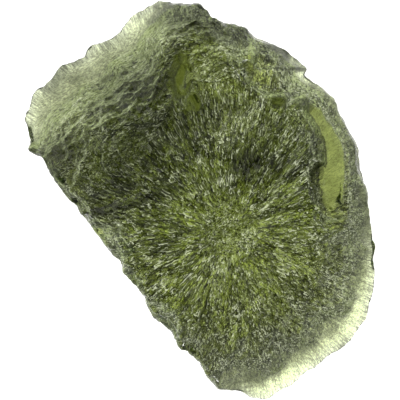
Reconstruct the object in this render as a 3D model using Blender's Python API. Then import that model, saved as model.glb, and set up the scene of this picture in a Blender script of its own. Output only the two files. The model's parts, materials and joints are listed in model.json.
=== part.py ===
"""Moldavite: one slab of etched green natural glass, lying on a small flat spot.

The stone is a single closed solid. Its outline is drawn from above by hand, and two sheets
of triangles, a top and an underside, meet along that outline. Lengths are in millimetres
until the mesh is made. +X is right and +Y is up in the view from above, +Z is up.
"""
import math

import bpy
import bmesh
import numpy as np
from mathutils import Vector, noise
from mathutils.geometry import delaunay_2d_cdt

MM = 0.001

# Overall size of the stone
WIDTH = 35.0
LENGTH = 39.8
THICKNESS = 10.4

# Outline from above, anticlockwise from the left tip: x, y, width of the thin margin that runs
# along the edge there, thickness of the stone just inside the edge, and height of the edge
OUTLINE = [
    (-17.5, 8.2, 1.8, 1.6, 1.4),
    (-17.0, 6.9, 1.6, 1.9, 1.6),
    (-17.5, 5.2, 0.9, 3.6, 2.3),
    (-16.0, 3.7, 0.5, 6.2, 3.8),
    (-11.0, -3.3, 0.4, 7.4, 4.2),
    (-9.9, -4.4, 0.4, 7.0, 4.2),
    (-7.9, -7.2, 0.4, 7.8, 4.5),
    (-5.0, -11.7, 0.4, 7.6, 4.3),
    (-4.0, -12.1, 0.4, 7.2, 4.2),
    (-3.1, -13.8, 0.4, 6.8, 4.1),
    (-1.7, -15.3, 0.4, 6.2, 3.6),
    (0.3, -17.6, 0.5, 5.0, 3.1),
    (1.7, -19.0, 0.9, 3.0, 2.1),
    (4.0, -19.0, 1.7, 1.8, 1.6),
    (5.3, -19.8, 1.9, 1.2, 1.2),
    (6.7, -19.9, 2.0, 0.9, 1.0),
    (7.8, -19.0, 2.1, 0.9, 1.1),
    (11.0, -17.0, 2.3, 1.1, 1.2),
    (15.0, -14.0, 2.2, 1.2, 1.1),
    (16.7, -11.8, 1.9, 1.3, 1.3),
    (16.8, -10.7, 1.7, 1.5, 1.3),
    (17.4, -8.8, 1.5, 1.7, 1.6),
    (17.5, -4.5, 1.1, 2.4, 1.8),
    (17.2, -0.7, 0.9, 2.9, 2.0),
    (16.5, 2.5, 0.8, 3.1, 2.1),
    (16.0, 5.3, 0.7, 3.1, 2.1),
    (15.0, 7.5, 0.7, 3.0, 2.0),
    (13.2, 10.6, 0.7, 2.6, 1.9),
    (11.9, 11.4, 0.7, 2.2, 1.7),
    (10.3, 12.4, 0.7, 1.8, 1.6),
    (11.0, 13.0, 0.7, 1.2, 1.2),
    (8.0, 15.3, 0.8, 2.2, 1.6),
    (5.7, 16.3, 0.6, 4.0, 2.5),
    (4.0, 17.5, 0.5, 5.2, 3.1),
    (1.0, 19.0, 0.5, 5.4, 3.1),
    (-1.5, 19.7, 0.6, 4.4, 2.7),
    (-2.8, 19.5, 0.9, 1.8, 1.4),
    (-4.2, 19.9, 1.6, 1.1, 1.2),
    (-5.0, 19.6, 2.4, 0.9, 1.1),
    (-7.3, 18.0, 2.7, 0.8, 0.9),
    (-7.9, 16.8, 2.4, 1.0, 1.1),
    (-8.8, 15.9, 2.3, 1.4, 1.4),
    (-9.5, 15.9, 2.4, 1.5, 1.2),
    (-11.2, 15.3, 2.8, 1.2, 1.2),
    (-11.5, 14.3, 3.0, 1.4, 1.2),
    (-14.0, 13.3, 3.7, 1.7, 1.6),
    (-14.8, 12.0, 3.7, 1.7, 1.4),
    (-16.5, 10.9, 3.1, 1.6, 1.3),
    (-17.1, 9.3, 2.4, 1.5, 1.4),
]
EDGE_STEP = 0.74
EDGE_NOISE = 0.2
EDGE_NOISE_LENGTH = 1.1
# How sharply OUTLINE's values pass from one stretch of the edge to the next
EDGE_BLEND = 0.15
EDGE_BLEND_POWER = 4

# Section through the stone, from the edge inwards. THIN_WALLS are the thicknesses at which the
# edge changes from a rounded wall to a wedge
EDGE_ROUNDING = 0.7
EDGE_WEDGE = 2.6
WEDGE_POWER = 1.5
THIN_WALLS = (3.6, 1.7)
SHELF_SLOPE = 0.25
LEDGE_RISE = 1.8
LEDGE_WIDTH = 1.9
LEDGE_WANDER = 0.9
LEDGE_WANDER_LENGTH = 2.2
CLIMB_START = 0.8
CLIMB_BLEND = 2.0
WALL_LUMP = 0.8
WALL_LUMP_LENGTH = 3.0
WALL_PIT_LENGTH = 1.9
WALL_PIT_DEPTH = 0.9
RIM_WAVE = 0.2
RIM_WAVE_LENGTH = 2.6
BELLY_SHARE = 0.45
BELLY_REACH = 8.5
BELLY_WANDER = 3.0
BELLY_WANDER_LENGTH = 11.0
# Thicknesses between which lumps and pits grow from nothing to their full height
RELIEF_GROWS = (0.5, 5.0)

# Width over which the top climbs from the edge to its full height, near a few places
CLIMBS = [
    ((-12.5, 12.5), 8.5),
    ((-8.0, -7.0), 4.5),
    ((2.0, 17.5), 3.6),
    ((16.0, 3.0), 4.5),
    ((16.5, -9.5), 8.0),
    ((8.0, -18.5), 9.5),
]

# The underside: broad lumps, and the flat spot, which is where it would bulge below zero
FLAT_CENTRE = (2.0, 0.2)
FLAT_HALF = (7.0, 5.6)
FLAT_TURN = 20.0
FLAT_BULGE = 1.7
UNDER_LUMP = 0.55
UNDER_LUMP_LENGTH = 6.0
UNDER_PIT_STEP = 2.9
UNDER_PIT_DEPTH = 0.45

# Centre of the sunburst of grooves on the top, and the shallow bowl around it
BURST_CENTRE = (2.8, -3.2)
BURST_RADIUS = 5.0
BOWL_HALF = (7.5, 6.5)
BOWL_DEPTH = 1.0

# Swells of the top: centre, half sizes, turn in degrees, height
SWELLS = [
    ((-8.5, 6.0), (6.5, 4.0), 35.0, 1.0),
    ((-3.5, -9.5), (7.0, 2.6), -55.0, 0.7),
    ((10.0, -9.5), (6.5, 3.4), 40.0, -0.7),
    ((9.6, 3.0), (1.9, 5.5), 8.0, 0.8),
    ((0.5, 16.5), (5.0, 2.0), -10.0, -0.5),
    ((1.6, 7.6), (4.2, 1.3), 18.0, -0.5),
]
TOP_LUMP = 0.35
TOP_LUMP_LENGTH = 4.0

# The pits of the top, and what every pit has: its half width as a share of the spacing, how far
# it is off its place, its sizes, and how far it turns from the burst's rays near the burst and
# beyond it, in degrees
TOP_PIT_STEP = 2.0
TOP_PIT_DEPTH = 0.5
TOP_PIT_STRETCH = 1.1
PIT_REACH = 0.86
PIT_JITTER = 0.42
PIT_SIZES = (0.75, 1.3)
PIT_TURNS = (10.0, 60.0)
# Distances from the burst's centre where its rays begin, where they fade out, and where the pits
# stop following them
RAYS_BEGIN = 1.5
RAYS_FADE = (9.0, 14.0)
PITS_LOOSEN = (8.0, 14.0)
SEED = 11

# Smooth hollows in the top: centre, half sizes, turn in degrees, depth
WINDOWS = [
    ((-1.9, 11.8), (2.4, 1.3), 86.0, 1.0),
    ((-0.6, 9.5), (1.3, 0.9), 110.0, 0.7),
    ((5.0, 14.3), (1.9, 0.8), 84.0, 0.9),
    ((4.5, 3.5), (1.5, 0.9), 12.0, 0.7),
    ((7.6, 9.6), (1.0, 0.9), 0.0, 0.6),
]
# A hollow's floor is flat inside this squared radius
HOLLOW_FLOOR = 0.25

# Steps broken into the top. Each runs along a path of x, y and the height of its foot. To the
# left of the path the stone is cut down to a floor: flat for a width, then rising by a slope
STEPS = {
    "trough": {
        "path": [
            (10.4, 8.5, 6.4), (11.8, 6.8, 5.9), (12.4, 4.6, 5.7), (12.2, 3.2, 5.7),
            (11.5, 2.5, 5.8), (11.9, 1.2, 5.9), (11.8, 0.2, 6.1), (12.4, -1.0, 6.3),
        ],
        "wall": 3.2, "width": 2.2, "slope": 0.16, "end": 1.3, "rough": 0.0,
    },
    "upper right facet": {
        "path": [
            (4.9, 13.2, 7.5), (5.3, 11.7, 7.4), (6.4, 10.8, 7.2), (9.6, 10.7, 6.5), (11.3, 10.6, 5.9),
        ],
        "wall": 2.4, "width": 1.6, "slope": -0.16, "end": 0.8, "rough": 0.03,
    },
    "upper right chip": {
        "path": [(5.7, 15.7, 6.0), (5.8, 13.4, 6.5), (8.5, 13.2, 5.7), (10.6, 13.0, 4.9)],
        "wall": 3.0, "width": 0.6, "slope": -0.22, "end": 0.8, "rough": 0.14,
    },
}
# Where the floor of the trough is smooth, on both sides of the stone, as at the windows
TROUGH_FLOOR = ((13.2, 3.8), (5.6, 2.0), 97.0)
STEP_JAG = 0.16
STEP_JAG_LENGTH = 0.9
STEP_ROUGH_LENGTH = 1.3
STEP_POINTS = 0.42
STEP_FOOT = 0.42
STEP_BLEND = 1.4

# Long narrow grooves in the top: path of x, y, depth, and the groove's half width
GROOVES = [
    ([(-10.6, -0.6, 0.4), (-7.0, 0.5, 0.8), (-4.0, 1.5, 0.2)], 0.8),
    ([(-10.6, -3.9, 1.4), (-9.0, -3.4, 0.8), (-6.5, -2.6, 0.2)], 0.7),
    ([(17.6, -4.7, 0.8), (16.3, -4.4, 0.9), (15.0, -4.5, 0.2)], 0.5),
]

# Spacing of the mesh points: the honeycombs, the two rings inside the outline, and the distances
# kept between the rings, the steps' points and the honeycomb
TOP_STEP = 0.70
UNDER_STEP = 1.0
LONGEST_EDGE = 1.5
EDGE_INSETS = (0.22, 0.75)
RING_KEPT = 0.85
STEP_TO_EDGE = 0.9
GRID_TO_RING = 0.55
GRID_TO_STEP = 0.5

# Colour of the glass as it looks on white
GLASS_COLOUR = (0.20, 0.25, 0.08, 1.0)
GLASS_ROUGHNESS = 0.18
GLASS_IOR = 1.49


def clear_scene():
    for thing in list(bpy.data.objects):
        bpy.data.objects.remove(thing, do_unlink=True)


def ease(low, high, value):
    """0 below low, 1 above high, smooth between."""
    t = np.clip((value - low) / (high - low), 0.0, 1.0)
    return t * t * (3.0 - 2.0 * t)


def waves(x, y, length, seed):
    """Smooth noise from about -1 to 1 with bumps of the given length."""
    layer = 7.3 * seed
    gain = 1.7
    flat = [
        noise.noise(Vector((px / length, py / length, layer)))
        for px, py in zip(np.ravel(x), np.ravel(y))
    ]
    return gain * np.array(flat).reshape(np.shape(x))


def oval(x, y, centre, half, turn_degrees):
    """Squared radius in a turned oval: 0 at its middle, 1 on its rim."""
    turn = math.radians(turn_degrees)
    dx = x - centre[0]
    dy = y - centre[1]
    along = dx * math.cos(turn) + dy * math.sin(turn)
    across = dy * math.cos(turn) - dx * math.sin(turn)
    return (along / half[0]) ** 2 + (across / half[1]) ** 2


def along_path(x, y, path):
    """Nearest place on a path of (x, y, value) rows: distance, value, and the side."""
    best = np.full(np.shape(x), 1e9)
    value = np.zeros(np.shape(x))
    side = np.zeros(np.shape(x))
    for (ax, ay, av), (bx, by, bv) in zip(path, path[1:]):
        ux = bx - ax
        uy = by - ay
        size = ux * ux + uy * uy
        t = np.clip(((x - ax) * ux + (y - ay) * uy) / size, 0.0, 1.0)
        dx = x - ax - t * ux
        dy = y - ay - t * uy
        gap = np.hypot(dx, dy)
        nearer = gap < best
        best = np.where(nearer, gap, best)
        value = np.where(nearer, av + t * (bv - av), value)
        side = np.where(nearer, np.sign(ux * (y - ay) - uy * (x - ax)), side)
    return best, value, side


def edge_ring():
    """The outline as evenly spaced rows of x, y, margin, wall and height, with small jags."""
    rows = np.array(OUTLINE)
    pieces = []
    for row, following in zip(rows, np.roll(rows, -1, axis=0)):
        length = math.hypot(*(following - row)[:2])
        share = np.linspace(0.0, 1.0, max(1, round(length / EDGE_STEP)), endpoint=False)
        pieces.append(row + share[:, None] * (following - row))
    ring = np.vstack(pieces)
    ahead = np.roll(ring, -1, axis=0)[:, :2] - np.roll(ring, 1, axis=0)[:, :2]
    ahead /= np.linalg.norm(ahead, axis=1)[:, None]
    out = np.column_stack([ahead[:, 1], -ahead[:, 0]])
    jag = EDGE_NOISE * waves(ring[:, 0], ring[:, 1], EDGE_NOISE_LENGTH, 1)
    ring[:, :2] += out * jag[:, None]
    ring[:, 4] += RIM_WAVE * waves(ring[:, 0], ring[:, 1], RIM_WAVE_LENGTH, 2)
    low = ring[:, :2].min(axis=0)
    high = ring[:, :2].max(axis=0)
    ring[:, :2] -= (low + high) / 2
    ring[:, :2] *= np.array([WIDTH, LENGTH]) / (high - low)
    return ring


class Edge:
    """Distances to the outline, and what OUTLINE says about the nearest stretch of it."""

    def __init__(self, ring):
        self.ring = ring
        self.path = np.vstack([ring, ring[:1]])

    def near(self, x, y):
        gap = np.full(x.shape, 1e9)
        total = np.zeros((3,) + x.shape)
        weight = np.zeros(x.shape)
        for row, following in zip(self.path, self.path[1:]):
            u = following[:2] - row[:2]
            t = np.clip(((x - row[0]) * u[0] + (y - row[1]) * u[1]) / (u @ u), 0.0, 1.0)
            distance = np.hypot(x - row[0] - t * u[0], y - row[1] - t * u[1])
            gap = np.minimum(gap, distance)
            share = 1.0 / (distance + EDGE_BLEND) ** EDGE_BLEND_POWER
            total += share * row[2:, None]
            weight += share
        margin, wall, rim = total / weight
        return gap, margin, wall, rim


def pit_layout(step, seed):
    """Pits over the whole outline, on a jittered honeycomb: x, y, size, and a swing of its turn."""
    chance = np.random.default_rng(seed)
    rows = []
    row_step = step * math.sqrt(3) / 2
    for j in range(int(LENGTH / row_step) + 3):
        for i in range(int(WIDTH / step) + 3):
            x = (i + 0.5 * (j % 2)) * step - WIDTH / 2 - step
            y = j * row_step - LENGTH / 2 - step
            dx, dy = chance.uniform(-PIT_JITTER, PIT_JITTER, 2) * step
            rows.append((x + dx, y + dy, chance.uniform(*PIT_SIZES), chance.uniform(-1, 1)))
    return rows


def scallops(x, y, step, depth, seed, stretch):
    """Overlapping etched pits with sharp crests between them, drawn out from the burst."""
    deepest = np.zeros(x.shape)
    for px, py, size, swing in pit_layout(step, seed):
        away = math.hypot(px - BURST_CENTRE[0], py - BURST_CENTRE[1])
        turn = math.degrees(math.atan2(py - BURST_CENTRE[1], px - BURST_CENTRE[0]))
        rays = ease(RAYS_BEGIN, BURST_RADIUS, away) * (1.0 - ease(*RAYS_FADE, away))
        drawn = 1.0 + stretch * float(rays)
        loose = PIT_TURNS[0] + PIT_TURNS[1] * float(ease(*PITS_LOOSEN, away))
        reach = PIT_REACH * step * size
        half = (reach * drawn, reach / math.sqrt(drawn))
        near = np.hypot(x - px, y - py) < max(half)
        r2 = oval(x[near], y[near], (px, py), half, turn + loose * swing)
        deepest[near] = np.maximum(deepest[near], depth * size * (1.0 - r2))
    return deepest


def thinness(wall):
    """1 where the edge is thin, 0 where it is a steep wall."""
    return ease(*THIN_WALLS, wall)


def opening(gap, wall):
    """Share of the wall's thickness at a distance from the edge: a quarter round, or a wedge."""
    near = np.clip(gap / EDGE_ROUNDING, 0.0, 1.0)
    far = np.clip(gap / EDGE_WEDGE, 0.0, 1.0)
    quarter_round = np.sqrt(1.0 - (1.0 - near) ** 2)
    wedge = 1.0 - (1.0 - far) ** WEDGE_POWER
    return quarter_round + thinness(wall) * (wedge - quarter_round)


def climb(x, y):
    """Width over which the top rises to its full height, blended between CLIMBS."""
    total = np.zeros(x.shape)
    weight = np.zeros(x.shape)
    for (px, py), width in CLIMBS:
        share = 1.0 / ((x - px) ** 2 + (y - py) ** 2 + CLIMB_BLEND ** 2) ** 2
        total += share * width
        weight += share
    return total / weight


def thickness(x, y, gap, margin, wall):
    """Thickness of the stone at a distance from its edge, before the relief."""
    thin = thinness(wall)
    foot = margin + LEDGE_WANDER * thin * waves(x, y, LEDGE_WANDER_LENGTH, 3)
    ledge = LEDGE_RISE * thin * ease(foot, foot + LEDGE_WIDTH, gap)
    shelf = wall * opening(gap, wall) + SHELF_SLOPE * np.minimum(gap, margin)
    rest = THICKNESS - wall - SHELF_SLOPE * margin - LEDGE_RISE * thin
    inner = np.clip((gap - CLIMB_START * margin) / climb(x, y), 0.0, 1.0)
    return shelf + ledge + rest * (1.0 - (1.0 - inner) ** 2)


def belly(x, y, gap, wall, rim):
    """Height of the underside before its relief: down from the rim to nothing."""
    start = rim - BELLY_SHARE * wall * opening(gap, wall)
    reach = BELLY_REACH + BELLY_WANDER * waves(x, y, BELLY_WANDER_LENGTH, 9)
    return start * (1.0 - np.clip(gap / reach, 0.0, 1.0)) ** 2


def hollow(squared_radius):
    """Flat-floored hollow: 1 over its floor, 0 from its rim out."""
    return ease(1.0, HOLLOW_FLOOR, squared_radius)


def roughness(x, y):
    """How deep the pits are: none at the windows and on the floor of the trough."""
    rough = 1.0 - hollow(oval(x, y, *TROUGH_FLOOR))
    for centre, half, turn, _ in WINDOWS:
        rough -= hollow(oval(x, y, centre, half, turn))
    return np.clip(rough, 0.0, 1.0)


def underside(x, y, edge):
    """Height of the underside: the belly, its lumps and pits, and the flat spot at zero."""
    gap, margin, wall, rim = edge.near(x, y)
    bulge = FLAT_BULGE * np.exp(-oval(x, y, FLAT_CENTRE, FLAT_HALF, FLAT_TURN) ** 2)
    lumps = UNDER_LUMP * (1.0 + waves(x, y, UNDER_LUMP_LENGTH, 8))
    pits = roughness(x, y) * scallops(x, y, UNDER_PIT_STEP, UNDER_PIT_DEPTH, SEED + 1, 0.0)
    body = ease(*RELIEF_GROWS, thickness(x, y, gap, margin, wall))
    return np.maximum(belly(x, y, gap, wall, rim) + body * (lumps + pits) - bulge, 0.0)


def ragged(path):
    """A step's path as closely spaced points, with small jags."""
    rows = np.array(path)
    place = np.concatenate([[0.0], np.cumsum(np.hypot(*np.diff(rows[:, :2], axis=0).T))])
    at = np.linspace(0.0, place[-1], int(place[-1] / STEP_POINTS) + 1)
    fine = np.column_stack([np.interp(at, place, rows[:, k]) for k in range(3)])
    fine[:, 0] += STEP_JAG * waves(fine[:, 0], fine[:, 1], STEP_JAG_LENGTH, 5)
    fine[:, 1] += STEP_JAG * waves(fine[:, 0], fine[:, 1], STEP_JAG_LENGTH, 6)
    return fine


def past_ends(x, y, path):
    """Distance beyond the two ends of a path, along it."""
    first = path[0][:2] - path[1][:2]
    last = path[-1][:2] - path[-2][:2]
    before = ((x - path[0][0]) * first[0] + (y - path[0][1]) * first[1]) / np.hypot(*first)
    after = ((x - path[-1][0]) * last[0] + (y - path[-1][1]) * last[1]) / np.hypot(*last)
    return np.maximum(np.maximum(before, after), 0.0)


def soft_minimum(first, second):
    """The lower of two heights, rounded off where they cross."""
    near = np.maximum(1.0 - np.abs(first - second) / STEP_BLEND, 0.0)
    return np.minimum(first, second) - 0.25 * STEP_BLEND * near ** 2


def carve_step(height, x, y, step):
    """Cuts the stone down on the left of a step's path, with a steep wall along it."""
    away, foot, side = along_path(x, y, ragged(step["path"]))
    beyond = past_ends(x, y, np.array(step["path"]))
    across = np.sqrt(np.maximum(away ** 2 - beyond ** 2, 0.0))
    floor = foot + step["slope"] * np.maximum(across - step["width"], 0.0)
    floor += step["rough"] * waves(x, y, STEP_ROUGH_LENGTH, 7)
    wall = foot + step["wall"] * across / STEP_FOOT
    end = step["end"] * beyond
    return np.where(side > 0.0, soft_minimum(height, floor + end), np.minimum(height, wall + end))


def top(x, y, edge):
    """Height of the top: the section through the stone, less what has been eaten away."""
    gap, margin, wall, rim = edge.near(x, y)
    depth = thickness(x, y, gap, margin, wall)
    body = ease(*RELIEF_GROWS, depth)
    height = belly(x, y, gap, wall, rim) + depth
    height += TOP_LUMP * body * waves(x, y, TOP_LUMP_LENGTH, 4)
    for centre, half, turn, rise in SWELLS:
        height += body * rise * np.exp(-oval(x, y, centre, half, turn))
    height -= BOWL_DEPTH * np.exp(-oval(x, y, BURST_CENTRE, BOWL_HALF, 0.0))
    for centre, half, turn, sunk in WINDOWS:
        height -= sunk * hollow(oval(x, y, centre, half, turn))
    pits = scallops(x, y, TOP_PIT_STEP, TOP_PIT_DEPTH, SEED, TOP_PIT_STRETCH)
    height -= body * roughness(x, y) * pits
    for path, half in GROOVES:
        away, sunk, _ = along_path(x, y, path)
        height -= sunk * ease(half, 0.0, away)
    for step in STEPS.values():
        height = carve_step(height, x, y, step)
    return height


def step_points():
    """Mesh points in pairs along the foot and the head of each step's wall."""
    points = []
    for step in STEPS.values():
        path = ragged(step["path"])[:, :2]
        ahead = np.gradient(path, axis=0)
        ahead /= np.linalg.norm(ahead, axis=1)[:, None]
        left = np.column_stack([-ahead[:, 1], ahead[:, 0]])
        points.extend(path)
        points.extend(path - STEP_FOOT * left)
    return np.array(points)


def sheet_points(edge, step, extra):
    """Free mesh points inside the outline: two rings along the edge, extras, a honeycomb."""
    ring = edge.ring
    ahead = np.roll(ring, -1, axis=0)[:, :2] - np.roll(ring, 1, axis=0)[:, :2]
    ahead /= np.linalg.norm(ahead, axis=1)[:, None]
    inward = np.column_stack([-ahead[:, 1], ahead[:, 0]])
    points = []
    for inset in EDGE_INSETS:
        shifted = ring[:, :2] + inward * inset
        gap = edge.near(shifted[:, 0], shifted[:, 1])[0]
        points.extend(shifted[(gap > RING_KEPT * inset) & inside(shifted, ring)])
    if len(extra):
        gap = edge.near(extra[:, 0], extra[:, 1])[0]
        extra = extra[(gap > STEP_TO_EDGE) & inside(extra, ring)]
        points.extend(extra)
    row_step = step * math.sqrt(3) / 2
    xs = np.arange(-WIDTH / 2, WIDTH / 2, step)
    ys = np.arange(-LENGTH / 2, LENGTH / 2, row_step)
    grid = np.array([(x + 0.5 * step * (j % 2), y) for j, y in enumerate(ys) for x in xs])
    gap = edge.near(grid[:, 0], grid[:, 1])[0]
    grid = grid[(gap > EDGE_INSETS[-1] + GRID_TO_RING * step) & inside(grid, ring)]
    if len(extra):
        apart = np.hypot(grid[:, :1] - extra[:, 0], grid[:, 1:] - extra[:, 1]).min(axis=1)
        grid = grid[apart > GRID_TO_STEP * step]
    return np.vstack([points, grid])


def inside(points, ring):
    """Even-odd test of points against the outline."""
    result = np.zeros(len(points), dtype=bool)
    x = points[:, 0]
    y = points[:, 1]
    for a, b in zip(ring, np.roll(ring, -1, axis=0)):
        crosses = (a[1] > y) != (b[1] > y)
        rise = b[1] - a[1] if b[1] != a[1] else 1e-12
        result ^= crosses & (x < a[0] + (y - a[1]) * (b[0] - a[0]) / rise)
    return result


def sheet(edge, step, extra):
    """Triangles over the outline: points (the edge ring first) and faces."""
    ring = [Vector(row[:2]) for row in edge.ring]
    free = [Vector(point) for point in sheet_points(edge, step, extra)]
    count = len(ring)
    border = [(i, (i + 1) % count) for i in range(count)]
    faces = delaunay_2d_cdt(ring + free, border, [], 1, 1e-5)[2]
    ears = [face for face in faces if max(face) < count]
    free += [(ring[a] + ring[b] + ring[c]) / 3 for a, b, c in ears]
    triangles = delaunay_2d_cdt(ring + free, border, [], 1, 1e-5)
    return np.array([tuple(v) for v in triangles[0]]), triangles[2]


def knead(mesh, edge):
    """Lumps and pits on the steep faces, where the two sheets alone would leave straight flutes."""
    mesh.normal_update()
    x, y = np.array([vertex.co[:2] for vertex in mesh.verts]).T / MM
    thick = 1.0 - thinness(edge.near(x, y)[2])
    moved = []
    for vertex, share in zip(mesh.verts, thick):
        place = vertex.co / MM
        steep = share * (1.0 - abs(vertex.normal.z))
        pit = max(0.0, 1.0 - noise.voronoi(place / WALL_PIT_LENGTH)[0][0] ** 2)
        push = WALL_LUMP * noise.noise(place / WALL_LUMP_LENGTH) - WALL_PIT_DEPTH * pit
        moved.append(place + vertex.normal * steep * push if place.z > 0.0 else place)
    low = [min(place[k] for place in moved) for k in range(3)]
    high = [max(place[k] for place in moved) for k in range(3)]
    size = (WIDTH, LENGTH, THICKNESS)
    for vertex, place in zip(mesh.verts, moved):
        fitted = [(place[k] - low[k]) * size[k] / (high[k] - low[k]) for k in range(3)]
        fitted[0] -= WIDTH / 2
        fitted[1] -= LENGTH / 2
        vertex.co = Vector(fitted) * MM


def make_stone():
    edge = Edge(edge_ring())
    count = len(edge.ring)
    top_points, top_faces = sheet(edge, TOP_STEP, step_points())
    under_points, under_faces = sheet(edge, UNDER_STEP, [])
    top_z = top(top_points[:, 0], top_points[:, 1], edge)
    under_z = underside(under_points[:, 0], under_points[:, 1], edge)
    top_z[:count] = edge.ring[:, 4]
    top_z *= THICKNESS / top_z.max()

    mesh = bmesh.new()
    tops = [mesh.verts.new((x * MM, y * MM, z * MM)) for (x, y), z in zip(top_points, top_z)]
    unders = tops[:count]
    for (x, y), z in zip(under_points[count:], under_z[count:]):
        unders.append(mesh.verts.new((x * MM, y * MM, z * MM)))
    for face in top_faces:
        mesh.faces.new([tops[i] for i in face])
    for face in under_faces:
        mesh.faces.new([unders[i] for i in reversed(face)])
    long_edges = [line for line in mesh.edges if line.calc_length() > LONGEST_EDGE * MM]
    bmesh.ops.subdivide_edges(mesh, edges=long_edges, cuts=1)
    bmesh.ops.triangulate(mesh, faces=mesh.faces)
    bmesh.ops.recalc_face_normals(mesh, faces=mesh.faces)
    knead(mesh, edge)
    data = bpy.data.meshes.new("moldavite")
    mesh.to_mesh(data)
    mesh.free()
    data.shade_smooth()
    stone = bpy.data.objects.new("moldavite", data)
    bpy.context.scene.collection.objects.link(stone)
    return stone


def glass():
    material = bpy.data.materials.new("moldavite_glass")
    material.use_nodes = True
    shader = material.node_tree.nodes["Principled BSDF"]
    shader.inputs["Base Color"].default_value = GLASS_COLOUR
    shader.inputs["Roughness"].default_value = GLASS_ROUGHNESS
    shader.inputs["Metallic"].default_value = 0.0
    shader.inputs["IOR"].default_value = GLASS_IOR
    shader.inputs["Transmission Weight"].default_value = 1.0
    return material


clear_scene()
stone = make_stone()
stone.data.materials.append(glass())
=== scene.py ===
import json
import math
import random

import bpy
import numpy as np
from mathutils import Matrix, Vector, bvhtree, kdtree, noise

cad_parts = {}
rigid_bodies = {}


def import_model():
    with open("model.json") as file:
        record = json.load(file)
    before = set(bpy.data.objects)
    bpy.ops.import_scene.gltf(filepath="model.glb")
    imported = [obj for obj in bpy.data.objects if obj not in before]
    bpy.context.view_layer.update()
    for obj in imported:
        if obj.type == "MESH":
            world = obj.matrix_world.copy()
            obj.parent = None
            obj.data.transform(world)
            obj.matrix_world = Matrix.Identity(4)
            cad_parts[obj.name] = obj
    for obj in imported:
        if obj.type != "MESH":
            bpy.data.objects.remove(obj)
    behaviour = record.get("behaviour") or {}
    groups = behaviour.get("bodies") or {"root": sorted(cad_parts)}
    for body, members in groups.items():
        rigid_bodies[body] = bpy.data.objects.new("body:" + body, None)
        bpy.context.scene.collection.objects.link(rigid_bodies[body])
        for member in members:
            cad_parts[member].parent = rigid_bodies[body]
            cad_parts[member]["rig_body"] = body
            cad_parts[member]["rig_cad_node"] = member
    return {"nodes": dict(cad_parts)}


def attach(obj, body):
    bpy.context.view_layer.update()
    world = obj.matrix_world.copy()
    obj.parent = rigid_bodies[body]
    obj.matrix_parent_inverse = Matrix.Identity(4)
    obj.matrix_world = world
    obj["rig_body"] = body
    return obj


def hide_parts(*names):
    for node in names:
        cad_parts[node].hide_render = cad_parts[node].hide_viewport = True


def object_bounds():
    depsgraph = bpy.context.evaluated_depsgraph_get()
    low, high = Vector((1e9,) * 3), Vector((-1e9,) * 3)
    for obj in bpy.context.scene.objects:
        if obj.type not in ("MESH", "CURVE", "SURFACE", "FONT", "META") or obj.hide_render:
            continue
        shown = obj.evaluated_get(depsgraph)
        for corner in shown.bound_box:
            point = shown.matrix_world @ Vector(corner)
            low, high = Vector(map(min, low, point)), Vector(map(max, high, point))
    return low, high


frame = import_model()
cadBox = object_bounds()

mm = 0.001
black = (0.0, 0.0, 0.0, 1.0)
white = (1.0, 1.0, 1.0, 1.0)


# Shader maths reads as sums: one output socket, with the operators it needs
class Wire:
    def __init__(self, tree, socket=None):
        self.tree = tree
        self.socket = socket

    def node(self, kind, settings=None, inputs=None, output=0):
        made = self.tree.nodes.new(kind)
        for name, value in (settings or {}).items():
            if name == "stops":
                ramp = made.color_ramp.elements
                ramp[0].position, ramp[0].color = value[0]
                ramp[1].position, ramp[1].color = value[-1]
                for place, colour in value[1:-1]:
                    ramp.new(place).color = colour
            else:
                setattr(made, name, value)
        for name, value in (inputs or {}).items():
            if isinstance(value, Wire):
                self.tree.links.new(value.socket, made.inputs[name])
            else:
                made.inputs[name].default_value = value
        return Wire(self.tree, made.outputs[output])

    def maths(self, operation, first, second=0.0):
        return self.node("ShaderNodeMath", {"operation": operation}, {0: first, 1: second})

    def __add__(self, other):
        return self.maths("ADD", self, other)

    def __radd__(self, other):
        return self.maths("ADD", other, self)

    def __sub__(self, other):
        return self.maths("SUBTRACT", self, other)

    def __rsub__(self, other):
        return self.maths("SUBTRACT", other, self)

    def __mul__(self, other):
        return self.maths("MULTIPLY", self, other)

    def __rmul__(self, other):
        return self.maths("MULTIPLY", other, self)

    def __truediv__(self, other):
        return self.maths("DIVIDE", self, other)

    def __rtruediv__(self, other):
        return self.maths("DIVIDE", other, self)

    def __pow__(self, other):
        return self.maths("POWER", self, other)

    def __rpow__(self, other):
        return self.maths("POWER", other, self)

    # Another output of the same node
    def also(self, name):
        return Wire(self.tree, self.socket.node.outputs[name])

    # A soft step from 0 at low to 1 at high
    def ease(self, low, high):
        return self.node("ShaderNodeMapRange", {"interpolation_type": "SMOOTHSTEP"},
                         {"Value": self, "From Min": low, "From Max": high})

    # From the first colour to the second
    def mix(self, share, first, second):
        return self.node("ShaderNodeMix", {"data_type": "RGBA"}, {"Factor": share, 6: first, 7: second}, 2)


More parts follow.
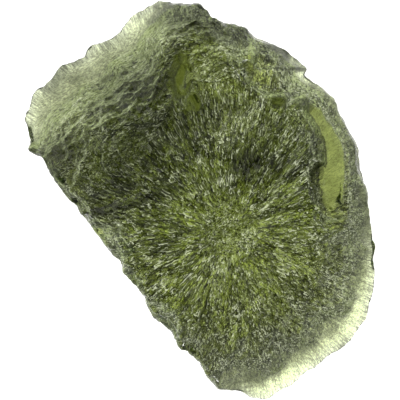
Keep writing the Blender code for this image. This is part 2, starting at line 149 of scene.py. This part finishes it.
# What a user would change on the stone. Lengths are in millimetres, turns in degrees.
stone = {
    "node": "moldavite",
    "slot": "moldavite_glass",
    "mergeWithin": 0.001,          # points of the solid's copy that are closer become one
    "subdivisions": 2,             # two keep the stone under 200,000 triangles
    "burst": (2.8, -3.2),          # middle of the sunburst of striae
    "burstCore": 4.0,              # radius of the round pits in its middle
    "burstEdge": 11.0,             # where the striae give way to loose pits
    "seed": 7,
    "chipLength": 0.55,            # size and depth of the small chips along the edges
    "chipDepth": 0.10,
    "fineChips": 2.7,              # how much smaller the finer chips are, and how deep against the others
    "fineDepth": 0.6,
    "chipSlope": (0.75, 0.25),     # faces that lean more than this are chipped
    "knifeAngle": 95.0,            # edges sharper than this stay sharp
    "clear": 0.01,                 # how far inside the solid's box the stone stays
    "inside": 0.02,                # how far under the surface its thickness is measured from
    "smoothRim": (1.2, 0.8),       # soft rims of smooth places and cross grain, in shares of their size
    "crossRim": (1.05, 0.8),
    "etchedFrom": (0.3, 4.0),      # thickness over which the etching grows to its full depth
    "wallEtching": 0.35,           # share of its depth on upright faces
    "wallSlope": (0.0, 0.45),
}

# Layers of etched pits, coarse to fine: which side, spacing of the pits, half length, half width, depth
etching = [
    {"name": "under scoops", "side": -1, "spacing": 2.0, "long": 2.0, "wide": 1.5, "deep": 0.30},
    {"name": "under pits", "side": -1, "spacing": 0.95, "long": 0.95, "wide": 0.70, "deep": 0.14},
    {"name": "top scoops", "side": 1, "spacing": 1.7, "long": 1.8, "wide": 1.10, "deep": 0.24},
    {"name": "top pits", "side": 1, "spacing": 0.75, "long": 0.95, "wide": 0.46, "deep": 0.13},
    {"name": "top striae", "side": 1, "spacing": 0.34, "long": 0.52, "wide": 0.21, "deep": 0.07},
]

# What is the same for every layer
pits = {
    "sizes": (0.65, 1.4),     # smallest and largest, in shares of the layer's sizes
    "aroundEdge": -0.1,       # how far each side's pits reach round the stone's edge
    "sameWay": 0.3,           # faces that point further away from a pit's own face are left alone
    "upShare": 0.3,           # how much height counts towards a pit's reach
    "shortest": 0.2,          # on steeper faces a pit has no grain
}

# How they run: along the rays of the sunburst, and how far each swings out of line, in radians
grain = {
    "coreFade": (0.3, 1.0),      # where pits begin to be drawn out, in shares of the core's radius
    "looseFade": (0.8, 1.3),     # where they run loose again, in shares of the burst's edge
    "swing": 0.12,
    "coreSwing": 0.9,
    "looseSwing": 0.5,
    "looseShort": 0.5,           # how much of their length the loose ones lose
    "crossSwing": 0.6,
    "crossRagged": (0.75, 1.1),  # the ragged rim of the cross grain
}

# How much light passes through thick glass, then over which thicknesses this changes, and by how much
clearGlass = 0.50
clearSteps = [(8.5, 5.0, -0.08), (3.0, 1.5, 0.09), (1.4, 0.4, 0.14)]

# Smooth places in the top: centre, half sizes, turn and the share of light that they pass
smoothPlaces = [
    ((-1.9, 11.9), (2.1, 1.05), 86.0, 0.46),
    ((-0.6, 9.5), (1.1, 0.75), 110.0, 0.46),
    ((5.2, 14.4), (1.6, 0.42), 84.0, 0.64),
    ((7.6, 9.8), (0.95, 0.8), 0.0, 0.36),
    ((9.9, 9.7), (0.8, 0.7), 0.0, 0.36),
    ((13.0, 4.4), (3.6, 1.25), 98.0, 0.65),
    ((13.0, 1.4), (2.4, 1.15), 90.0, 0.65),
    ((11.4, 7.8), (2.2, 1.0), 125.0, 0.62),
]

# Duller and clearer places in the glass's tint, partly painted shade in grooves, along ledges and in dark
# zones, partly painted light along bright lines, partly paler thin glass: centre, half sizes, turn, how
# much more or less light passes, and softness
paintedShadeAndLight = [
    ((-7.0, 6.0), (8.5, 5.5), 40.0, 0.58, 0.5),
    ((2.8, -3.2), (6.0, 6.0), 0.0, 1.05, 0.6),
    ((7.5, 4.0), (4.5, 3.2), 40.0, 0.76, 0.6),
    ((4.5, 3.5), (1.5, 0.9), 12.0, 0.5, 0.4),
    ((-8.0, -0.6), (3.6, 0.45), 15.0, 0.40, 0.6),
    ((-4.5, -4.5), (4.5, 3.0), 20.0, 0.88, 0.5),
    ((-10.2, -3.6), (1.4, 0.8), 35.0, 2.0, 0.5),
    ((-6.2, 12.0), (4.8, 2.4), 38.0, 0.60, 0.6),
    ((-14.4, 4.6), (2.8, 1.5), 20.0, 0.62, 0.5),
    ((1.0, 17.6), (5.5, 2.4), -8.0, 0.38, 0.5),
    ((15.7, 3.5), (1.0, 5.8), 8.0, 0.78, 0.5),
    ((4.4, 14.4), (1.5, 0.42), 84.0, 1.5, 0.3),
    ((7.8, 11.9), (2.8, 1.1), 0.0, 1.35, 0.3),
    ((8.4, 13.05), (2.8, 0.2), 0.0, 0.45, 0.5),
    ((8.0, 10.55), (3.0, 0.22), 0.0, 0.5, 0.5),
    ((7.5, 14.5), (1.8, 1.1), 0.0, 0.6, 0.3),
    ((11.7, 4.8), (2.2, 0.5), 100.0, 0.45, 0.5),
    ((11.3, 1.3), (1.7, 0.5), 88.0, 0.45, 0.5),
    ((-5.8, 18.6), (2.2, 1.2), 40.0, 1.5, 0.6),
    ((7.0, -19.0), (2.6, 1.2), 30.0, 1.5, 0.6),
    ((12.5, -14.0), (8.0, 3.0), 48.0, 1.42, 0.6),
    ((14.5, -8.0), (2.5, 3.5), 0.0, 1.15, 0.6),
    ((15.6, -11.0), (0.9, 0.8), 0.0, 1.3, 0.4),
]

# Where the pits run across the sunburst's rays: centre, half sizes, turn and the way that they run
crossGrain = [
    ((-9.5, 8.5), (8.5, 6.0), 40.0, 28.0),
    ((-1.0, 14.5), (7.0, 3.5), -10.0, 20.0),
]


def deselectAll():
    if bpy.context.object and bpy.context.object.mode != "OBJECT":
        bpy.ops.object.mode_set(mode="OBJECT")
    bpy.ops.object.select_all(action="DESELECT")


def copyOfNode(name):
    node = frame["nodes"][name]
    deselectAll()
    bpy.context.view_layer.objects.active = node
    node.select_set(True)
    bpy.ops.object.duplicate()
    copy = bpy.context.object
    copy.parent = None
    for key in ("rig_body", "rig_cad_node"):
        if key in copy:
            del copy[key]
    bpy.ops.object.mode_set(mode="EDIT")
    bpy.ops.mesh.select_all(action="SELECT")
    bpy.ops.mesh.remove_doubles(threshold=stone["mergeWithin"] * mm)
    bpy.ops.object.mode_set(mode="OBJECT")
    return copy


# A soft step from 0 at low to 1 at high
def ease(low, high, value):
    t = np.clip((value - low) / (high - low), 0.0, 1.0)
    return t * t * (3.0 - 2.0 * t)


# How far out the points lie in a turned oval: 1 is on its rim
def oval(points, centre, half, turn):
    along = math.radians(turn)
    dx = points[:, 0] - centre[0]
    dy = points[:, 1] - centre[1]
    u = (dx * math.cos(along) + dy * math.sin(along)) / half[0]
    v = (dy * math.cos(along) - dx * math.sin(along)) / half[1]
    return np.sqrt(u * u + v * v)


def readMesh(thing):
    count = len(thing.data.vertices)
    points = np.zeros(count * 3)
    normals = np.zeros(count * 3)
    thing.data.vertices.foreach_get("co", points)
    thing.data.vertices.foreach_get("normal", normals)
    return points.reshape(-1, 3) / mm, normals.reshape(-1, 3)


def writeMesh(thing, points):
    thing.data.vertices.foreach_set("co", (points * mm).ravel())
    thing.data.update()


def keepValues(thing, name, values):
    layer = thing.data.attributes.new(name, "FLOAT", "POINT")
    layer.data.foreach_set("value", np.asarray(values, float))


# Thickness of the glass straight below or above each point
def thicknessAt(points, normals, thing):
    tree = bvhtree.BVHTree.FromObject(thing, bpy.context.evaluated_depsgraph_get())
    depth = np.zeros(len(points))
    for index, (point, normal) in enumerate(zip(points, normals)):
        way = Vector((0.0, 0.0, -1.0 if normal[2] > 0.0 else 1.0))
        hit = tree.ray_cast(Vector((point - normal * stone["inside"]) * mm), way)
        if hit[3] is not None:
            depth[index] = hit[3] / mm
    return depth


# How smooth each point is, and how much light passes there
def smoothness(points):
    share = np.zeros(len(points))
    passes = np.zeros(len(points))
    for centre, half, turn, light in smoothPlaces:
        here = ease(*stone["smoothRim"], oval(points, centre, half, turn))
        passes = np.where(here > share, light, passes)
        share = np.maximum(share, here)
    return share, passes


# How much light passes at each point, before the pits, with the painted shade and painted light of the
# duller and clearer places
def clearness(points, thickness, smoothShare, passes):
    level = clearGlass
    for thick, thin, change in clearSteps:
        level = level + change * ease(thick, thin, thickness)
    for centre, half, turn, light, soft in paintedShadeAndLight:
        here = ease(1.0 + soft, 1.0 - soft, oval(points, centre, half, turn))
        level = level * light ** here
    return level * (1 - smoothShare) + passes * smoothShare


# Which way a pit at this place runs, and how far it is drawn out
def grainAt(centre, chance):
    dx = centre[0] - stone["burst"][0]
    dy = centre[1] - stone["burst"][1]
    away = math.hypot(dx, dy)
    drawn = float(ease(*grain["coreFade"], away / stone["burstCore"]))
    loose = float(ease(*grain["looseFade"], away / stone["burstEdge"]))
    spread = grain["swing"] + grain["coreSwing"] * (1 - drawn) + grain["looseSwing"] * loose
    swing = chance.gauss(0.0, 1.0) * spread
    angle = math.atan2(dy, dx) + swing
    for place, half, turn, runs in crossGrain:
        inside = oval(np.array([centre]), place, half, turn)[0]
        if inside < chance.uniform(*grain["crossRagged"]):
            angle = math.radians(runs) + swing * grain["crossSwing"]
            break
    return angle, drawn * (1 - grain["looseShort"] * loose)


# Presses one layer of overlapping pits into one side of the stone
def etch(thing, layer, chance, strength):
    points, normals = readMesh(thing)
    tree = kdtree.KDTree(len(points))
    for index, point in enumerate(points):
        tree.insert(point, index)
    tree.balance()
    relief = np.zeros(len(points))
    free = np.ones(len(points), bool)
    order = list(range(len(points)))
    chance.shuffle(order)
    count = 0
    for index in order:
        if not free[index] or normals[index][2] * layer["side"] < pits["aroundEdge"]:
            continue
        centre = points[index]
        up = normals[index]
        size = chance.uniform(*pits["sizes"])
        reach = layer["long"] * size
        found = tree.find_range(centre, reach)
        near = np.fromiter((item[1] for item in found), int, len(found))
        gap = np.fromiter((item[2] for item in found), float, len(found))
        free[near[gap < layer["spacing"]]] = False
        angle, drawn = grainAt(centre, chance)
        along = np.array([math.cos(angle), math.sin(angle), 0.0])
        along -= up * (along @ up)
        if np.linalg.norm(along) < pits["shortest"]:
            continue
        along /= np.linalg.norm(along)
        across = np.cross(up, along)
        halfWide = layer["wide"] * size
        halfLong = halfWide + (reach - halfWide) * drawn
        offset = points[near] - centre
        outward = (offset @ along / halfLong) ** 2 + (offset @ across / halfWide) ** 2
        outward += (offset @ up / halfWide) ** 2 * pits["upShare"]
        pressed = layer["deep"] * size * (1.0 - outward)
        pressed[normals[near] @ up < pits["sameWay"]] = 0.0
        relief[near] = np.maximum(relief[near], pressed)
        count += 1
    writeMesh(thing, points - normals * (relief * strength)[:, None])
    print("etched", layer["name"], count)


# Small chips in the steep edges, pushed in and out sideways only
def roughenEdge(thing):
    points, normals = readMesh(thing)
    steep = ease(*stone["chipSlope"], np.abs(normals[:, 2]))
    chips = []
    for point in points:
        place = Vector(point) / stone["chipLength"]
        fine = noise.noise(place * stone["fineChips"])
        chips.append(noise.noise(place) + stone["fineDepth"] * fine)
    writeMesh(thing, points + normals * [1, 1, 0] * (steep * chips * stone["chipDepth"])[:, None])
    print("edges chipped")


# Stretches the stone back to just inside the solid's box
def fitTo(thing, box):
    points = readMesh(thing)[0]
    low, high = [np.array(corner) / mm for corner in box]
    low, high = low + stone["clear"], high - stone["clear"]
    least, most = points.min(axis=0), points.max(axis=0)
    writeMesh(thing, low + (points - least) * (high - low) / (most - least))


def makeStone():
    chance = random.Random(stone["seed"])
    piece = copyOfNode(stone["node"])
    piece.name = "moldaviteGlass"
    piece.data.name = "moldaviteGlass"

    # Knife edges are creased, then the stone is rounded
    bpy.ops.object.mode_set(mode="EDIT")
    bpy.ops.mesh.select_mode(type="EDGE")
    bpy.ops.mesh.select_all(action="DESELECT")
    bpy.ops.mesh.edges_select_sharp(sharpness=math.radians(stone["knifeAngle"]))
    bpy.ops.transform.edge_crease(value=1.0)
    bpy.ops.object.mode_set(mode="OBJECT")
    smooth = piece.modifiers.new("smooth", "SUBSURF")
    smooth.levels = stone["subdivisions"]
    smooth.render_levels = stone["subdivisions"]
    bpy.ops.object.modifier_apply(modifier="smooth")
    bpy.ops.object.shade_smooth()
    fitTo(piece, cadBox)
    print("stone rounded")

    # Thin and smooth places are etched less
    points, normals = readMesh(piece)
    thickness = thicknessAt(points, normals, piece)
    smoothShare, passes = smoothness(points)
    flatness = ease(*stone["wallSlope"], np.abs(normals[:, 2]))
    strength = ease(*stone["etchedFrom"], thickness) * (1 - smoothShare)
    strength *= stone["wallEtching"] + (1 - stone["wallEtching"]) * flatness
    for layer in etching:
        etch(piece, layer, chance, strength)
    roughenEdge(piece)
    fitTo(piece, cadBox)

    # What the glass needs to know at each point
    cross = np.zeros(len(points))
    for centre, half, turn, runs in crossGrain:
        cross = np.maximum(cross, ease(*stone["crossRim"], oval(points, centre, half, turn)))
    keepValues(piece, "smoothShare", smoothShare)
    keepValues(piece, "thickness", thickness)
    keepValues(piece, "clearness", clearness(points, thickness, smoothShare, passes))
    keepValues(piece, "crossGrain", cross)
    print("stone", len(piece.data.vertices), "points")
    return piece


# The finish of the glass, with its painted light, shade and glints. Lengths are in millimetres, and light
# that a place passes counts in stops.
finishAndPaintedLight = {
    "roughness": 0.13,
    "ior": 1.49,
    "mirror": (0.3, 0.3, 0.3, 1.0),    # etched glass throws back less than polished glass
    "absorbs": (0.119, 0.097, 0.295),  # per millimetre of glass, red, green and blue
    "density": 500.0,
    "glassTint": (0.97, 1.0, 0.84, 1.0),
    "thinTint": (0.94, 1.0, 0.74, 1.0),
    "thinTo": (2.0, 6.5),              # thickness over which the thin glass's tint gives way
    "underside": (-0.2, 0.1),          # faces that look down further than this aren't tinted
    "litFrom": (-0.45, 0.9),           # the side whose slopes are painted lighter, and by how much: painted light and shade by the way a slope faces
    "paintedSlopeLight": 0.95,
    "striaeWide": 0.115,               # across the striae and along them
    "striaeLong": 0.32,
    "streakWide": 0.30,                # and of the longer streaks that they lie in
    "streakLong": 1.7,
    "streak": 1.3,
    "streakDull": 0.35,                # streaks with less luck than this look darker
    "streakRim": 0.5,
    "bandStart": 2.5,                  # radius of the first band of striae, each next one is twice as far
    "bandCount": 1.4,                  # how many more striae a band has than would fit at its start
    "waver": 2.2,                      # how far the bands waver
    "waverScale": 0.7,
    "middle": 0.05,                    # keeps the rays apart in the very middle
    "pitWide": 0.135,                  # round pits in the sunburst's core
    "coreEdge": (0.55, 0.75),          # where they give way to striae, in shares of the core's radius
    "coreWaver": 1.5,
    "crossTurn": 28.0,                 # turn of the cross grain
    "crossEdge": (0.4, 0.6),
    "looseScale": 0.9,
    "cellRim": (0.34, 0.66),           # where a pit's rim starts and ends, from its middle
    "cellLift": 0.3,                   # all pits are this much lighter
    "cellChance": 1.1,                 # how far they differ
    "creviceShade": 2.2,                    # painted shade: how much darker the crevices between them are
    "luckyRim": (0.25, 0.6),           # pits with more luck have no painted crevice shade
    "smoothEvens": 0.82,               # how much of the pits and of the patches a smooth place loses
    "smoothPatch": 0.6,
    "thinContrast": 0.35,              # share of the pits' contrast in thin glass
    "contrastTo": (1.2, 4.5),
    "drift": 1.6,                      # how far wide patches differ
    "patchScale": 0.45,
    # Painted glints: pale matt specks that stand in for light thrown back by the pits' rims
    "glintColour": (0.78, 0.83, 0.58, 1.0),
    "glint": 0.72,
    "glintLuck": (0.45, 1.1),          # only lucky pits have a glint on their rims
    "glintClear": (0.0, 0.5),          # and only in clear glass
    "thinGlint": 0.5,                  # share of the glints in thin glass
    "glintTo": (1.5, 4.0),
    "sheenPatchWide": 1.5,                 # size of the patches of painted sheen, which have more glints
    "sheenPatchFrom": (0.50, 0.68),
    "sheenPatch": 0.35,
    "topFaces": (-0.3, 0.0),           # faces that look down have no glints
    "wallShadeColour": (0.37, 0.44, 0.19, 1.0),  # matt green of the steep rough faces, whose darkness is painted shade
    "wall": 0.85,                      # how much of them is matt
    "wallLight": 0.9,
    "wallContrast": 1.1,
    "wallSlope": (0.45, 0.90),         # faces less steep than this are clear
    "wallUpright": (0.0, 0.40),        # and so are upright ones
    "wallFrom": (0.6, 1.6),            # and the thinnest glass
    "frostRoughness": 0.4,
}


# One kept value of the stone's points
def keptAt(wire, name):
    return wire.node("ShaderNodeAttribute", {"attribute_name": name}, output="Fac")


def cloudy(wire, vector, scale, detail):
    return wire.node("ShaderNodeTexNoise", inputs={"Vector": vector, "Scale": scale, "Detail": detail})


# Distance from the middle of the nearest cell, and two chances that are the same all over the cell
def cells(wire, vector):
    made = wire.node("ShaderNodeTexVoronoi", {"feature": "F1"}, {"Vector": vector, "Scale": 1.0})
    chance = wire.node("ShaderNodeSeparateColor", inputs={0: made.also("Color")})
    return made, chance, chance.also("Green")


def scaled(wire, vector, size):
    return wire.node("ShaderNodeMapping", inputs={"Vector": vector, "Scale": [1 / size] * 3})


# From the first cells to the second
def blend(first, second, share):
    return [a * (1 - share) + b * share for a, b in zip(first, second)]


# Cells drawn out along the rays. Each band of them starts at twice the radius of the last one.
def striae(wire, burst, wide, long):
    x = wire.node("ShaderNodeSeparateXYZ", inputs={0: burst})
    y = x.also("Y")
    z = x.also("Z")
    radius = (x * x + y * y) ** 0.5 + finishAndPaintedLight["middle"]
    wave = cloudy(wire, burst, finishAndPaintedLight["waverScale"], 1.0) - 0.5
    octave = wire.maths("LOGARITHM", (radius + wave * finishAndPaintedLight["waver"]) / finishAndPaintedLight["bandStart"], 2.0)
    count = 2 ** wire.maths("FLOOR", octave)
    count = count * (finishAndPaintedLight["bandStart"] * finishAndPaintedLight["bandCount"] / wide)
    polar = wire.node("ShaderNodeCombineXYZ", inputs={
        "X": x / radius * count, "Y": y / radius * count, "Z": (radius - z) / long})
    return cells(wire, polar), radius


# How many stops lighter or darker each place is, with painted light and shade on its slopes and painted
# shade in its crevices, its rims, and how lucky its pit is
def etchedPits(wire, burst, lean):
    cross = keptAt(wire, "crossGrain")
    rays, radius = striae(wire, burst, finishAndPaintedLight["striaeWide"], finishAndPaintedLight["striaeLong"])
    streakFar, streakLuck = striae(wire, burst, finishAndPaintedLight["streakWide"], finishAndPaintedLight["streakLong"])[0][:2]
    roundPits = cells(wire, scaled(wire, burst, finishAndPaintedLight["pitWide"]))
    turned = wire.node("ShaderNodeMapping", {"vector_type": "TEXTURE"}, {
        "Vector": burst, "Rotation": (0.0, 0.0, math.radians(finishAndPaintedLight["crossTurn"])),
        "Scale": (finishAndPaintedLight["striaeLong"], finishAndPaintedLight["striaeWide"], finishAndPaintedLight["striaeWide"])})
    loose = cloudy(wire, burst, finishAndPaintedLight["looseScale"], 1.0) - 0.5
    core = (radius / stone["burstCore"] + loose * finishAndPaintedLight["coreWaver"]).ease(*finishAndPaintedLight["coreEdge"])
    side = (cross + loose).ease(*finishAndPaintedLight["crossEdge"])
    far, luck, otherLuck = blend(blend(roundPits, rays, core), cells(wire, turned), side)

    crest = far.ease(*finishAndPaintedLight["cellRim"])
    # Painted light and shade: slopes that face the lit side are lighter, the others darker
    lit = lean * finishAndPaintedLight["litFrom"][0] + lean.also("Y") * finishAndPaintedLight["litFrom"][1]
    streak = streakLuck - finishAndPaintedLight["streakDull"] - streakFar * finishAndPaintedLight["streakRim"]
    stops = (otherLuck - 0.5) * finishAndPaintedLight["cellChance"] + finishAndPaintedLight["cellLift"]
    # Painted shade in the crevices between the unlucky pits
    stops = stops - crest * (1 - luck.ease(*finishAndPaintedLight["luckyRim"])) * finishAndPaintedLight["creviceShade"]
    stops = stops + lit * finishAndPaintedLight["paintedSlopeLight"]
    stops = stops + streak * finishAndPaintedLight["streak"] * (core - side * core)
    return stops, crest, luck


def glassMaterial():
    material = bpy.data.materials.new("moldaviteGlass")
    material.use_nodes = True
    tree = material.node_tree
    wire = Wire(tree)
    shader = tree.nodes["Principled BSDF"]
    shader.inputs["Roughness"].default_value = finishAndPaintedLight["roughness"]
    shader.inputs["IOR"].default_value = finishAndPaintedLight["ior"]
    shader.inputs["Transmission Weight"].default_value = 1.0
    shader.inputs["Specular Tint"].default_value = finishAndPaintedLight["mirror"]

    # Millimetres from the middle of the sunburst
    place = wire.node("ShaderNodeTexCoord", output="Object")
    burst = wire.node("ShaderNodeMapping", {"vector_type": "POINT"}, {
        "Vector": place, "Location": [-part for part in stone["burst"]] + [0.0], "Scale": [1 / mm] * 3})
    smoothShare = keptAt(wire, "smoothShare")
    thickness = keptAt(wire, "thickness")
    # How much light passes, with its painted shade and painted light
    clear = keptAt(wire, "clearness")
    lean = wire.node("ShaderNodeSeparateXYZ", inputs={
        0: wire.node("ShaderNodeNewGeometry", output="Normal")})
    up = lean.also("Z")
    stops, crest, luck = etchedPits(wire, burst, lean)

    # How much light the surface passes, with painted shade and painted light from the places and the pits.
    # The shader passes a colour's square root, so the share is squared.
    thinShare = finishAndPaintedLight["thinContrast"]
    contrast = thinShare + (1 - thinShare) * thickness.ease(*finishAndPaintedLight["contrastTo"])
    contrast = (1 - smoothShare * finishAndPaintedLight["smoothEvens"]) * contrast
    patch = cloudy(wire, burst, finishAndPaintedLight["patchScale"], 4.0)
    broad = (patch - 0.5) * finishAndPaintedLight["drift"] * (1 - smoothShare * finishAndPaintedLight["smoothPatch"])
    passes = clear * 2 ** (stops * contrast + broad)
    body = wire.mix(thickness.ease(*finishAndPaintedLight["thinTo"]), finishAndPaintedLight["thinTint"], finishAndPaintedLight["glassTint"])
    tint = wire.mix(passes * passes, black, body)
    tint = wire.mix(1 - up.ease(*finishAndPaintedLight["underside"]), tint, white)
    tree.links.new(tint.socket, shader.inputs["Base Color"])

    # Painted glints: small pale matt specks on the rims of the pits, more of them in patches of painted
    # sheen
    sheenPatch = cloudy(wire, scaled(wire, burst, finishAndPaintedLight["sheenPatchWide"]), 1.0, 2.0).ease(*finishAndPaintedLight["sheenPatchFrom"])
    thinGlint = finishAndPaintedLight["thinGlint"]
    glint = crest * (luck + sheenPatch * finishAndPaintedLight["sheenPatch"]).ease(*finishAndPaintedLight["glintLuck"])
    glint = glint * clear.ease(*finishAndPaintedLight["glintClear"]) * (1 - smoothShare)
    glint = glint * (thinGlint + (1 - thinGlint) * thickness.ease(*finishAndPaintedLight["glintTo"]))
    glint = glint * up.ease(*finishAndPaintedLight["topFaces"])

    # Frost on the steep faces: matt, in a dark green that is painted shade, with the pits' painted light
    # and shade, mixed with the painted glints
    wallShare = 2 ** (stops * finishAndPaintedLight["wallContrast"]) * clear * finishAndPaintedLight["wallLight"]
    wallShadeColour = wire.mix(wallShare, black, finishAndPaintedLight["wallShadeColour"])
    wall = (1 - up.ease(*finishAndPaintedLight["wallSlope"])) * up.ease(*finishAndPaintedLight["wallUpright"])
    wall = wall * thickness.ease(*finishAndPaintedLight["wallFrom"])
    frostAndGlint = wire.node("ShaderNodeBsdfPrincipled", inputs={
        "Base Color": wire.mix(glint, wallShadeColour, finishAndPaintedLight["glintColour"]),
        "Roughness": finishAndPaintedLight["frostRoughness"], "Specular IOR Level": 0.0})
    frostAndGlintShare = wire.maths("MAXIMUM", wall * finishAndPaintedLight["wall"], glint * finishAndPaintedLight["glint"])
    surface = wire.node("ShaderNodeMixShader", inputs={
        0: frostAndGlintShare, 1: Wire(tree, shader.outputs[0]), 2: frostAndGlint})
    tree.links.new(surface.socket, tree.nodes["Material Output"].inputs["Surface"])

    # Thick glass is darker and greener
    colour = [1 - part / mm / finishAndPaintedLight["density"] for part in finishAndPaintedLight["absorbs"]] + [1.0]
    absorb = wire.node("ShaderNodeVolumeAbsorption", inputs={
        "Density": finishAndPaintedLight["density"], "Color": colour})
    tree.links.new(absorb.socket, tree.nodes["Material Output"].inputs["Volume"])
    print("glass material", len(tree.nodes), "nodes")
    return material


# The plain pale floor, the studio around it and the camera. Lengths are in metres.
studio = {
    "floorSize": 1.6,
    "floorDrop": 0.00002,          # the floor lies this far under the stone
    "floorColour": (0.72, 0.72, 0.70, 1.0),
    "floorRoughness": 0.8,
    "floorGlow": 1.0,
    "glowColour": (1.0, 1.0, 0.985, 1.0),
    "worldSide": (0.80, 0.82, 0.84, 1.0),
    "worldTop": (0.12, 0.125, 0.13, 1.0),
    "sideUpTo": 0.10,              # heights, as sines, between which the side fades into the top
    "topFrom": 0.40,
    "softboxSize": 0.45,
    "softboxAim": (0.0, 0.0, 0.005),
    "softboxes": [                 # name, place and watts
        ("softboxLeft", (-0.20, 0.16, 0.26), 1.20),
        ("softboxRight", (0.24, 0.10, 0.24), 0.55),
        ("softboxFront", (-0.02, -0.26, 0.26), 0.40),
    ],
    "lens": 200.0,                 # the camera's, and its sensor's width, in millimetres
    "sensor": 36.0,
    "seen": 0.0398,                # width of the picture at the height of the stone's edge
    "edgeHeight": 0.0020,
    "clipStart": 0.01,
}


def makeFloor():
    deselectAll()
    bpy.ops.mesh.primitive_plane_add(size=studio["floorSize"], location=(0, 0, -studio["floorDrop"]))
    floor = bpy.context.object
    floor.name = "floor"
    material = bpy.data.materials.new("floor")
    material.use_nodes = True
    shader = material.node_tree.nodes["Principled BSDF"]
    shader.inputs["Base Color"].default_value = studio["floorColour"]
    shader.inputs["Roughness"].default_value = studio["floorRoughness"]
    shader.inputs["Emission Color"].default_value = studio["glowColour"]
    shader.inputs["Emission Strength"].default_value = studio["floorGlow"]
    floor.data.materials.append(material)
    print("floor")


def makeWorld():
    world = bpy.data.worlds.new("studio")
    bpy.context.scene.world = world
    world.use_nodes = True
    wire = Wire(world.node_tree)
    look = wire.node("ShaderNodeTexCoord", output="Generated")
    height = wire.node("ShaderNodeSeparateXYZ", inputs={0: look}, output="Z")
    side = studio["worldSide"]
    stops = [(0.0, side), (studio["sideUpTo"], side), (studio["topFrom"], studio["worldTop"])]
    colour = wire.node("ShaderNodeValToRGB", {"stops": stops}, {"Fac": height})
    wire.tree.links.new(colour.socket, wire.tree.nodes["Background"].inputs["Color"])
    print("world")


def makeLights():
    for name, place, watts in studio["softboxes"]:
        way = Vector(studio["softboxAim"]) - Vector(place)
        turn = way.to_track_quat("-Z", "Y").to_euler()
        bpy.ops.object.light_add(type="AREA", location=place, rotation=turn)
        light = bpy.context.object
        light.name = name
        light.data.shape = "DISK"
        light.data.size = studio["softboxSize"]
        light.data.energy = watts
    print("lights", len(studio["softboxes"]))


def makeCamera():
    away = studio["seen"] * studio["lens"] / studio["sensor"]
    bpy.ops.object.camera_add(location=(0, 0, studio["edgeHeight"] + away))
    camera = bpy.context.object
    camera.data.lens = studio["lens"]
    camera.data.sensor_width = studio["sensor"]
    camera.data.clip_start = studio["clipStart"]
    bpy.context.scene.camera = camera
    print("camera")


bpy.context.scene.view_settings.view_transform = "Standard"
glassPiece = makeStone()
glassPiece.data.materials.clear()
glassPiece.data.materials.append(glassMaterial())
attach(glassPiece, "root")
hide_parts(stone["node"])
makeFloor()
makeWorld()
makeLights()
makeCamera()
